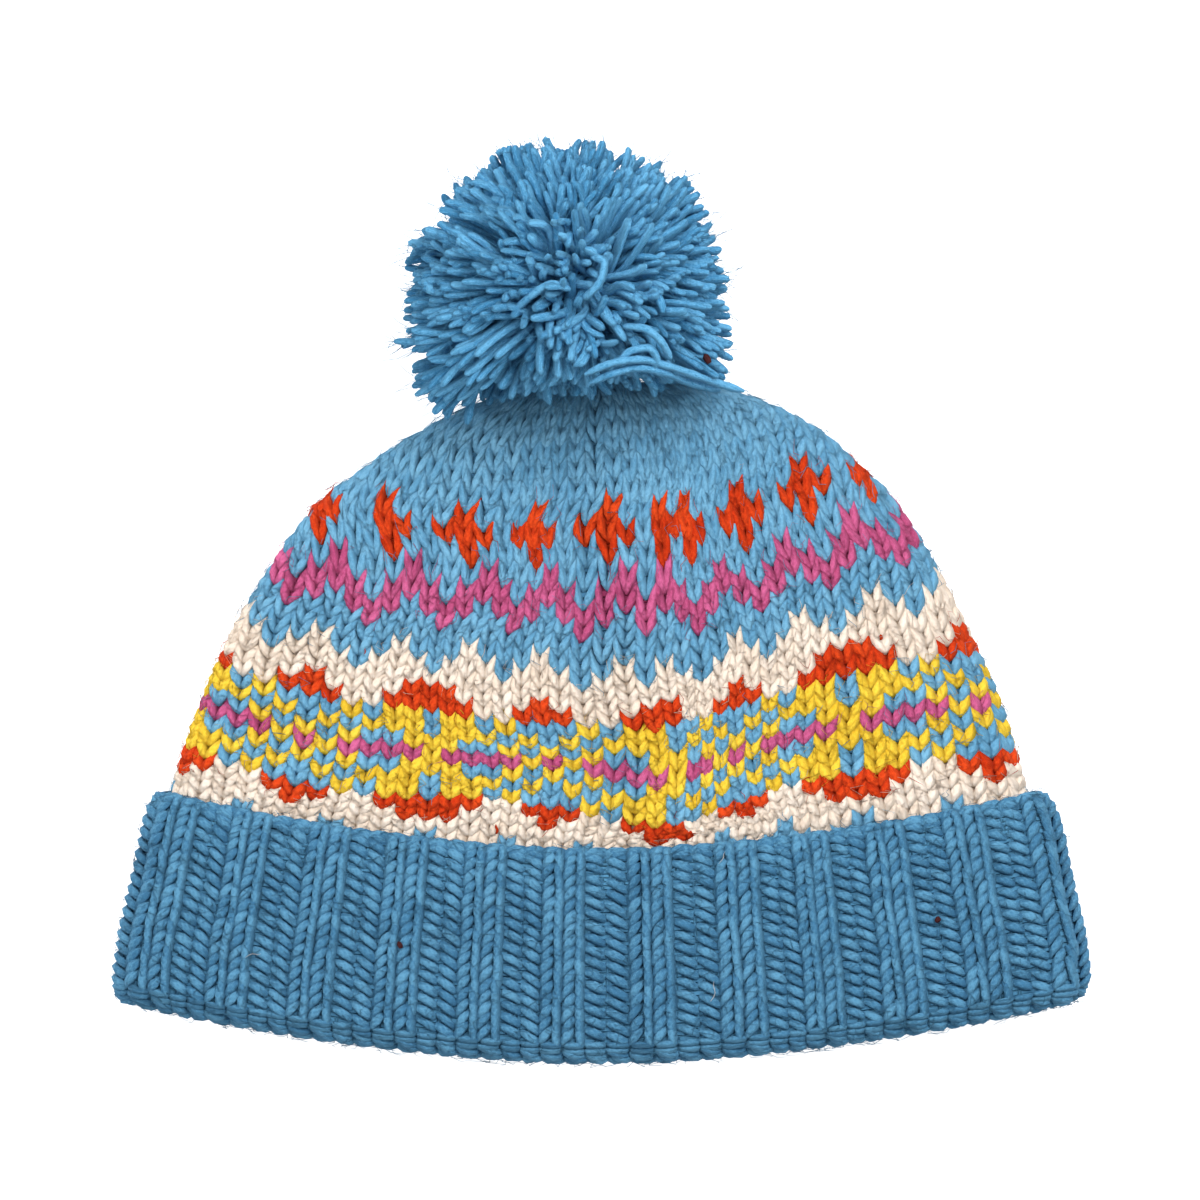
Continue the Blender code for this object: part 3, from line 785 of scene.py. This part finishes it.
BEAD = (      # left leg of the turned-up knit stitch: a slanting bead
    (-0.50, -0.86, -0.50, 0.32),
    (-0.46, -0.54, -0.02, 0.66),
    (-0.37, -0.18, 0.18, 0.94),
    (-0.24, 0.20, 0.32, 1.06),
    (-0.10, 0.54, 0.18, 0.84),
    (0.00, 0.84, -0.60, 0.36),
)
POST = (      # right leg, nearly upright, which reads as one cord up the rib
    (0.30, -0.98, -0.12, 0.72),
    (0.28, -0.56, 0.06, 0.88),
    (0.26, -0.14, 0.16, 0.96),
    (0.24, 0.28, 0.14, 0.96),
    (0.21, 0.70, 0.02, 0.86),
    (0.18, 1.08, -0.20, 0.70),
)
PURL_LEFT = (      # arched bump of the left purled stitch, slanting down to the right
    (-0.49, 0.26, -1.10, 0.45),
    (-0.35, 0.33, -0.20, 0.84),
    (-0.12, 0.20, 0.18, 1.00),
    (0.14, -0.04, 0.18, 1.00),
    (0.36, -0.30, -0.20, 0.84),
    (0.50, -0.52, -1.10, 0.45),
)
PURL_RIGHT = (     # the right one slants more
    (-0.50, 0.46, -1.10, 0.45),
    (-0.35, 0.44, -0.20, 0.84),
    (-0.12, 0.24, 0.20, 1.00),
    (0.14, -0.06, 0.20, 1.00),
    (0.35, -0.38, -0.20, 0.84),
    (0.48, -0.62, -1.10, 0.45),
)
EDGE = (      # strands that roll over the cuff's upper edge, slanting
    (-0.75, -0.70, -0.90, 0.50),
    (-0.42, -0.45, 0.00, 0.90),
    (-0.08, -0.05, 0.30, 1.00),
    (0.28, 0.32, 0.25, 1.00),
    (0.58, 0.50, 0.00, 0.85),
    (0.85, 0.55, -0.90, 0.45),
)
RIDGE = (     # straight bars of the turning row
    (-0.47, 0.00, -1.05, 0.50),
    (-0.36, 0.00, -0.05, 0.88),
    (-0.13, 0.02, 0.25, 1.00),
    (0.13, 0.02, 0.25, 1.00),
    (0.36, 0.00, -0.05, 0.88),
    (0.47, 0.00, -1.05, 0.50),
)


def even(rows):
    """The cuff's stitches are equally wide in every row."""
    return np.ones(len(rows))


knit_spots, left_spots, right_spots, bar_spots, fold_spots, edge_spots = ([] for _ in range(6))
for k in range(-CUFF_WALES // 2, CUFF_WALES // 2):
    kind = k % 4           # 0 and 3 are knitted: they lie either side of a rib's middle
    for j in range(CUFF_ROWS + 2):
        if kind in (0, 3):
            knit_spots.append((k + 0.5, -(j + 2.1)))
        elif kind == 1:
            left_spots.append((k + 0.5, -(j + 2.4)))
        else:
            right_spots.append((k + 0.5, -(j + 1.9)))
    for rise in (0.72, 1.32):
        bar_spots.append((k + 0.5 + 0.06 * (rise - 1), -rise))
    edge_spots.append((k + 0.5, -(CUFF_ROWS + 0.9 + (0.25 if kind in (0, 3) else 0.0))))
    for j in range(6):
        fold_spots.append((k + 0.5 + 0.2 * (j % 2), 0.85 * j - 0.25 + (0.4 if k % 2 else 0.0)))

for label, spots, shapes, fat, deep in (
        ("cuff_rib_stitches", knit_spots, (BEAD, POST), 0.00136, 0.0005),
        ("cuff_left_purls", left_spots, (PURL_LEFT,), 0.00140, 0.0006),
        ("cuff_right_purls", right_spots, (PURL_RIGHT,), 0.00140, 0.0005),
        ("cuff_upper_edge", edge_spots, (EDGE,), 0.00125, 0.0003),
        ("cuff_turning_row", bar_spots, (RIDGE,), 0.00100, 0.0004),
        ("cuff_fold_stitches", fold_spots, (PURL_LEFT,), 0.00118, 0.0003)):
    spots = np.array(spots)
    lines, thick, shade = legs(spots[:, 0], spots[:, 1], cuff_down, cuff_skin, even, fat,
                               deep=deep, shapes=shapes)
    piece = yarn(label, lines, thick, shade, cuff_shaded_wool)
    wear(piece, "cuff")

INNER = (     # bumps on the inner band, which face the hollow
    (-0.49, 0.26, 1.20, 0.45),
    (-0.35, 0.33, 0.45, 0.84),
    (-0.12, 0.20, 0.15, 1.00),
    (0.14, -0.04, 0.15, 1.00),
    (0.36, -0.30, 0.45, 0.84),
    (0.50, -0.52, 1.20, 0.45),
)
INNER_ROWS = 8


def inner_place(wale, row):
    """A spot on the inner band, where row 0 is its lowest."""
    return SEAM_SHARE + wale / CUFF_WALES, np.clip(0.010 - row * 0.0200, 0.0, 1.0)


inner_w, inner_r = np.meshgrid(np.arange(CUFF_WALES) + 0.5, -np.arange(INNER_ROWS) - 0.3)
lines, thick, shade = legs(inner_w.ravel(), inner_r.ravel(), inner_place, crown_skin, even, 0.00140,
                           deep=WALL - 0.0006, shapes=(INNER,))
wear(yarn("inner_band_stitches", lines, thick, shade, cuff_shaded_wool, sides=4), "crown")

# The fabric behind the cuff's stitches has the same darkened blue as the crown's: painted shade in the gaps
# between the rib's stitches.
cuff_shares = np.arange(192) / 192
cuff_ground = wall_mesh("cuff_ground", cuff_skin, cuff_shares, np.linspace(fine[2], fine[-3], 44),
                        np.full(44, -0.0018), np.linspace(fine[-6], fine[6], 8), -0.0034,
                        (96.0, 300.0), lambda s, p, i: (0.078, 0.240, 0.395))
cuff_ground.data.materials.append(knit_ground("cuff_ground_wool", (0.078, 0.240, 0.395)))
wear(cuff_ground, "cuff")


# Pompom: strands of yarn that fan out from an eye facing the camera and another below
STRANDS = 1900
# How far the strands reach to each side, in shares of POM_HALF. turn: degrees from the right, anticlockwise.
POM_RIM = (
    ("turn", "reach"),
    (0, 0.97), (20, 0.96), (45, 0.98), (90, 0.95), (135, 0.96), (180, 0.99), (200, 1.05), (212, 1.14),
    (226, 1.27), (236, 1.04), (250, 0.87), (270, 0.81), (290, 0.84), (305, 0.95), (318, 1.14),
    (328, 1.22), (338, 1.08), (348, 0.98), (360, 0.97),
)
EYE = np.array((0.13, -0.15, 1.0)) / np.linalg.norm((0.13, -0.15, 1.0))


def even_ways(count, shake):
    """Directions spread evenly over a ball, each a little off its place."""
    k = np.arange(count)
    height = 1 - 2 * (k + 0.5) / count
    turn = math.pi * (3 - math.sqrt(5)) * k
    flat = np.sqrt(1 - height ** 2)
    ways = np.stack((flat * np.cos(turn), flat * np.sin(turn), height), 1)
    ways += rng.normal(0.0, shake, ways.shape)
    return ways / np.linalg.norm(ways, axis=1, keepdims=True)


tips = even_ways(STRANDS, 0.05)
tufts = even_ways(230, 0.09)
nearest = np.argmax(tips @ tufts.T, axis=1)
pull = rng.uniform(0.05, 0.42, len(tufts))[nearest][:, None]
pull = pull * (1 - 0.85 * np.exp(-(np.arccos(np.clip(tips @ EYE, -1, 1)) / 0.5) ** 2))[:, None]
tips = tips * (1 - pull) + tufts[nearest] * pull
tips /= np.linalg.norm(tips, axis=1, keepdims=True)
polar = np.arccos(np.clip(tips @ EYE, -1, 1))
flat = tips - (tips @ EYE)[:, None] * EYE
flat /= np.maximum(np.linalg.norm(flat, axis=1, keepdims=True), 1e-9)
side = np.sign(math.pi / 2 - polar)
from_eye = np.where(side > 0, polar, math.pi - polar)
near_root = from_eye * (0.56 + 0.30 * from_eye / (math.pi / 2))
root_polar = np.where(side > 0, near_root, math.pi - near_root)
t = np.array([0.0, 0.16, 0.32, 0.47, 0.61, 0.74, 0.85, 0.93, 0.975, 1.0])
profile = np.array([0.9, 1.0, 1.0, 1.0, 1.0, 1.0, 1.0, 0.97, 0.80, 0.42])
reach = 0.935 + rng.normal(0.0, 0.035, STRANDS) + rng.normal(0.0, 0.014, len(tufts))[nearest]
turned = np.degrees(np.arctan2(tips[:, 1], tips[:, 0])) % 360
rim = 1 + (smooth(column(POM_RIM, "turn"), column(POM_RIM, "reach"), turned) - 1) * (1 - tips[:, 2] ** 2)
reach *= rim


def sideways(vectors, scale):
    """Random bends square to the strands: part shared within a tuft, part each strand's own."""
    shared = rng.normal(0.0, 1.0, (len(tufts), 3))[nearest]
    own = rng.normal(0.0, 1.0, (len(vectors), 3))
    bend = 0.75 * shared + 0.65 * own
    bend -= (bend * vectors).sum(1, keepdims=True) * vectors
    return bend * scale[:, None]


close = np.exp(-(from_eye / 0.55) ** 2)
lean = sideways(tips, 0.085 + 0.075 * close)
hook = sideways(tips, 0.034 + 0.060 * close)
ang = root_polar[:, None] + (polar - root_polar)[:, None] * (t ** 1.2)[None, :]
rad = 0.46 + (reach - 0.46)[:, None] * (t ** 0.92)[None, :]
way = np.cos(ang)[..., None] * EYE + np.sin(ang)[..., None] * flat[:, None, :]
wiggle = np.sin(rng.uniform(0, 2 * math.pi, STRANDS)[:, None] + 4.2 * t[None, :])
unit = (way * rad[..., None] + lean[:, None, :] * (t ** 1.6)[None, :, None]
        + hook[:, None, :] * (wiggle * t[None, :])[..., None])
size = np.linalg.norm(unit, axis=2, keepdims=True)
unit *= np.minimum(1.0, np.maximum(rim, 0.92)[:, None, None] / size)
strands = POM + unit * POM_HALF + SHIFT
strands[..., 2] = np.maximum(strands[..., 2], 0.0016 + 0.0005 * rng.random((STRANDS, 1)))
fat = 0.00110 * (1 + rng.normal(0, 0.06, STRANDS))
tone = rng.uniform(-0.06, 0.06, STRANDS) + rng.uniform(-0.05, 0.05, len(tufts))[nearest]
# Each strand is painted darker at its root and lighter at its tip: painted shade deep in the pompom, painted
# light at its surface.
tone = tone[:, None] + np.interp(t, (0.0, 0.45, 1.0), (-0.10, -0.02, 0.025))[None, :]
pom_piece = yarn("pompom_strands", strands, fat[:, None] * profile[None, :], tone, pom_wool, sides=5)
wear(pom_piece, "pompom")

# Loose ends of the tie yarn, on the side nearest the crown. Points are millimetres: across, along, up.
TIE_ENDS = (
    ((-3.6, 58.4, 60.0), (1.0, 60.6, 62.0), (6.1, 62.0, 62.5), (10.8, 62.4, 61.0), (17.5, 60.8, 57.0),
     (25.8, 58.0, 48.0), (32.2, 55.8, 40.0), (37.6, 54.2, 35.5)),
    ((-2.3, 56.2, 57.0), (3.3, 58.6, 60.0), (10.4, 60.2, 59.5), (16.2, 59.2, 56.0), (23.4, 56.4, 46.0),
     (31.3, 54.4, 36.5)),
    ((6.4, 71.0, 62.0), (11.2, 70.6, 64.0), (16.0, 67.2, 62.5), (18.6, 62.6, 57.0)),
    ((4.4, 60.6, 60.0), (8.4, 64.6, 62.0), (12.6, 65.4, 61.5), (15.0, 62.6, 59.5), (14.0, 59.6, 57.0)),
    ((-22.0, 75.0, 60.0), (-17.5, 79.0, 64.5), (-12.0, 82.0, 66.0), (-7.5, 80.5, 64.5)),
    ((-4.0, 78.0, 66.0), (0.5, 83.0, 67.5), (1.5, 87.5, 67.5), (-2.0, 89.5, 66.0)),
)


def through(points, count):
    """A soft curve through a few points."""
    points = np.array(points) / 1000.0
    gone = np.concatenate(([0.0], np.cumsum(np.linalg.norm(np.diff(points, axis=0), axis=1))))
    spots = np.linspace(0.0, gone[-1], count)
    return np.stack([smooth(gone, points[:, k], spots) for k in range(3)], 1)


ties = np.array([through(points, 26) for points in TIE_ENDS])
ties[..., :2] *= 1 - (ties[..., 2:] - PLANE) / CAMERA_HIGH
ties += SHIFT
ends = np.full(26, 1.0)
ends[[0, -1]], ends[[1, -2]] = 0.45, 0.85
tie_piece = yarn("pompom_tie_ends", ties, 0.00105 * np.tile(ends, (len(ties), 1)),
                 rng.uniform(0.0, 0.06, len(ties)), pom_wool, sides=6)
wear(tie_piece, "pompom")

# The core stands for the pompom's tied middle; its darker blue is painted shade where the strands' roots
# crowd.
core = bmesh.new()
bmesh.ops.create_icosphere(core, subdivisions=4, radius=1.0)
for v in core.verts:
    v.co = Vector(POM + SHIFT) + Vector([0.64 * h * c for h, c in zip(POM_HALF, v.co)])
for f in core.faces:
    f.smooth = True
core_mesh = bpy.data.meshes.new("pompom_core")
core.to_mesh(core_mesh)
core.free()
pom_core = to_collection(bpy.data.objects.new("pompom_core", core_mesh))
core_mesh.materials.append(new_material("pompom_core_wool", {"Base Color": (0.030, 0.140, 0.270, 1.0),
                                                             "Roughness": 1.0}))
wear(pom_core, "pompom")


# Fuzz: fine fibres that stand off the yarn
FIBRES_PER_STITCH = 4
CUFF_FIBRES = 4000
HAIRS = 4500               # on the pompom
FINEST, COARSEST = 0.00006, 0.00010
HAIR_PROFILE = np.array([1.0, 1.0, 0.6])


def fibre_of(material):
    """The same wool without its sheen, for single fibres."""
    m = material.copy()
    m.name = material.name.replace("_wool", "_fibres")
    fill(m.node_tree.nodes["Principled BSDF"], {"Sheen Weight": 0.0})
    return m


def stray_fibres(name, place, skin, spots, material, node, reach_w=0.55, reach_r=0.9):
    """Short bent fibres that start at wale and row numbers. reach_w and reach_r: their length in stitches."""
    count = len(spots)
    turn = rng.uniform(0, 2 * math.pi, count)
    far = rng.uniform(0.4, 1.2, count)
    step = np.linspace(0.0, 1.0, 3)
    bow = rng.normal(0.0, 0.22, (count, 2))
    dw = (np.cos(turn) * far * reach_w)[:, None] * step + bow[:, :1] * np.sin(math.pi * step)
    dr = (np.sin(turn) * far * reach_r)[:, None] * step + bow[:, 1:] * np.sin(math.pi * step)
    share, along = place(spots[:, :1] + dw, spots[:, 1:] + dr)
    rise = rng.uniform(0.0001, 0.0015, count)[:, None] * np.sin(step * 1.9) + 0.0001
    lines, _ = skin(share, along, rise)
    lines[..., 2] = np.maximum(lines[..., 2], 0.0002)
    thin = rng.uniform(FINEST, COARSEST, count)[:, None] * HAIR_PROFILE
    piece = yarn(name, lines, thin, rng.uniform(-0.06, 0.05, count), fibre_of(material), sides=3)
    wear(piece, node)


for key, spots in groups.items():
    spots = np.repeat(np.array(spots), FIBRES_PER_STITCH, 0)
    spots = spots + rng.uniform(-0.6, 0.6, spots.shape)
    label, material = WOOLS[key]
    stray_fibres("crown_%s_fuzz" % label, stitch_place, crown_skin, spots, material, "crown")
spots = np.stack((rng.uniform(-CUFF_WALES / 2, CUFF_WALES / 2, CUFF_FIBRES),
                  -rng.uniform(-3.5, CUFF_ROWS + 2.0, CUFF_FIBRES)), 1)
stray_fibres("cuff_fuzz", cuff_down, cuff_skin, spots, cuff_shaded_wool, "cuff", 0.9, 1.2)

pick = rng.integers(0, len(strands), HAIRS)
at_point = rng.integers(4, 10, HAIRS)
base = strands[pick, at_point]
along_strand = strands[pick, at_point] - strands[pick, at_point - 1]
along_strand /= np.linalg.norm(along_strand, axis=1, keepdims=True)
off = rng.normal(0.0, 0.45, base.shape)
bent = rng.normal(0.0, 0.35, base.shape)
grow = rng.uniform(0.0018, 0.0050, HAIRS)[:, None, None]
step = np.linspace(0.0, 1.0, 3)[None, :, None]
hairs = (base[:, None, :] + (along_strand + off)[:, None, :] * grow * step
         + bent[:, None, :] * grow * step ** 2)
hairs[..., 2] = np.maximum(hairs[..., 2], 0.0004)
thin = rng.uniform(FINEST, COARSEST, HAIRS)[:, None] * HAIR_PROFILE
# The hairs are painted a little lighter than the strands: painted light on fine fibres.
wear(yarn("pompom_fuzz", hairs, thin, rng.uniform(0.00, 0.10, HAIRS), fibre_of(pom_wool), sides=3),
     "pompom")


# Specks of lint, flecks of coloured fibre and pale single hairs. across and along: millimetres from the
# hat's middle, as seen from above. turn: degrees from the right. long and wide: millimetres.
# NEAR: how far from its aim, in metres, a fibre looks for the surface's highest point.
NEAR = 0.0022


def litter(name, spots, surface, material, node, off=0.0004):
    """Short fibres that lie on a surface's points."""
    lines, thick = [], []
    for across, along, turn, long, wide in spots:
        aim = np.array((across, along)) / 1000.0
        seen = surface[:, :2] * ((CAMERA_HIGH - PLANE) / (CAMERA_HIGH - surface[:, 2:]))
        close_by = np.nonzero(np.hypot(*(seen - aim).T) < NEAR)[0]
        spot = surface[close_by[np.argmax(surface[close_by, 2])]]
        spot = np.array((*(aim * (CAMERA_HIGH - spot[2]) / (CAMERA_HIGH - PLANE)), spot[2] + off))
        way = np.array((math.cos(math.radians(turn)), math.sin(math.radians(turn)), 0.0)) * long / 1000.0
        lift = np.array((0.0, 0.0, min(0.0012, 0.0002 * long)))
        lines.append([spot + way * (u - 0.5) + lift * math.sin(math.pi * u)
                      + 0.12 * way[[1, 0, 2]] * math.sin(5 * u) for u in np.linspace(0, 1, 6)])
        thick.append(wide / 2000.0 * np.array((0.6, 1.0, 1.0, 1.0, 0.9, 0.4)))
    piece = yarn(name, np.array(lines), np.array(thick), np.zeros(len(lines)), material, sides=4)
    wear(piece, node)


lint = wool("lint", (0.110, 0.030, 0.030), (0.050, 0.010, 0.012), 0.0)
pale_hair = wool("pale_hair", (0.80, 0.82, 0.84), (0.62, 0.68, 0.74), 0.0)
orange_fibres = fibre_of(WOOLS["R"][1])
on_crown = crown_skin.grid.reshape(-1, 3) + SHIFT
on_cuff = cuff_skin.grid.reshape(-1, 3) + SHIFT
litter("cuff_specks", ((87.9, -82.7, 60, 1.7, 1.5), (-52.0, -89.4, 95, 1.6, 1.4)), on_cuff, lint, "cuff")
litter("cuff_pale_hairs", ((29.6, -101.4, 74, 5.6, 0.22), (32.0, -66.6, 60, 4.0, 0.18),
                           (-90.0, -92.0, 20, 4.5, 0.18)), on_cuff, pale_hair, "cuff")
litter("crown_orange_flecks", ((73.1, -9.4, 80, 1.4, 0.9), (-26.8, -59.3, 85, 2.4, 0.7),
                               (54.0, -46.0, 30, 2.2, 0.3), (-61.0, -13.0, 75, 1.8, 0.3),
                               (12.0, -33.0, 50, 2.0, 0.3)), on_crown, orange_fibres, "crown")
litter("pompom_speck", ((27.8, 62.9, 100, 2.2, 1.9),), strands.reshape(-1, 3), lint, "pompom", 0.0012)


# Floor, light and camera
floor_mesh = bpy.data.meshes.new("floor")
far = 3.0
floor_mesh.from_pydata([(-far, -far, 0), (far, -far, 0), (far, far, 0), (-far, far, 0)], [], [(0, 1, 2, 3)])
floor = to_collection(bpy.data.objects.new("floor", floor_mesh))
floor_mesh.materials.append(new_material("white_floor", {
    "Base Color": (0.72, 0.72, 0.72, 1.0), "Roughness": 1.0, "Specular IOR Level": 0.0,
    "Emission Color": (1.0, 1.0, 1.0, 1.0), "Emission Strength": 0.78}))

world = bpy.data.worlds.new("studio")
bpy.context.scene.world = world
world.use_nodes = True
fill(world.node_tree.nodes["Background"], {"Color": (1.0, 1.0, 1.0, 1.0), "Strength": 0.72})


def area_light(name, place, size, watts):
    """A square lamp that faces the hat."""
    data = bpy.data.lights.new(name, "AREA")
    data.shape, data.size, data.energy = "SQUARE", size, watts
    lamp = to_collection(bpy.data.objects.new(name, data))
    lamp.location = place
    lamp.rotation_euler = (-Vector(place)).to_track_quat("-Z", "Y").to_euler()


area_light("key_light", (0.60, 0.80, 1.50), 1.1, 30.0)
area_light("fill_light", (-0.9, 0.3, 1.3), 1.2, 8.5)

data = bpy.data.cameras.new("camera")
camera = to_collection(bpy.data.objects.new("camera", data))
camera.location = (0.00026 + SHIFT[0], -0.00013 + SHIFT[1], CAMERA_HIGH)
data.sensor_width = 36.0
data.lens = data.sensor_width * (CAMERA_HIGH - PLANE) / PICTURE_WIDE
data.clip_end = 20.0
bpy.context.scene.camera = camera
bpy.context.scene.view_settings.view_transform = "Standard"
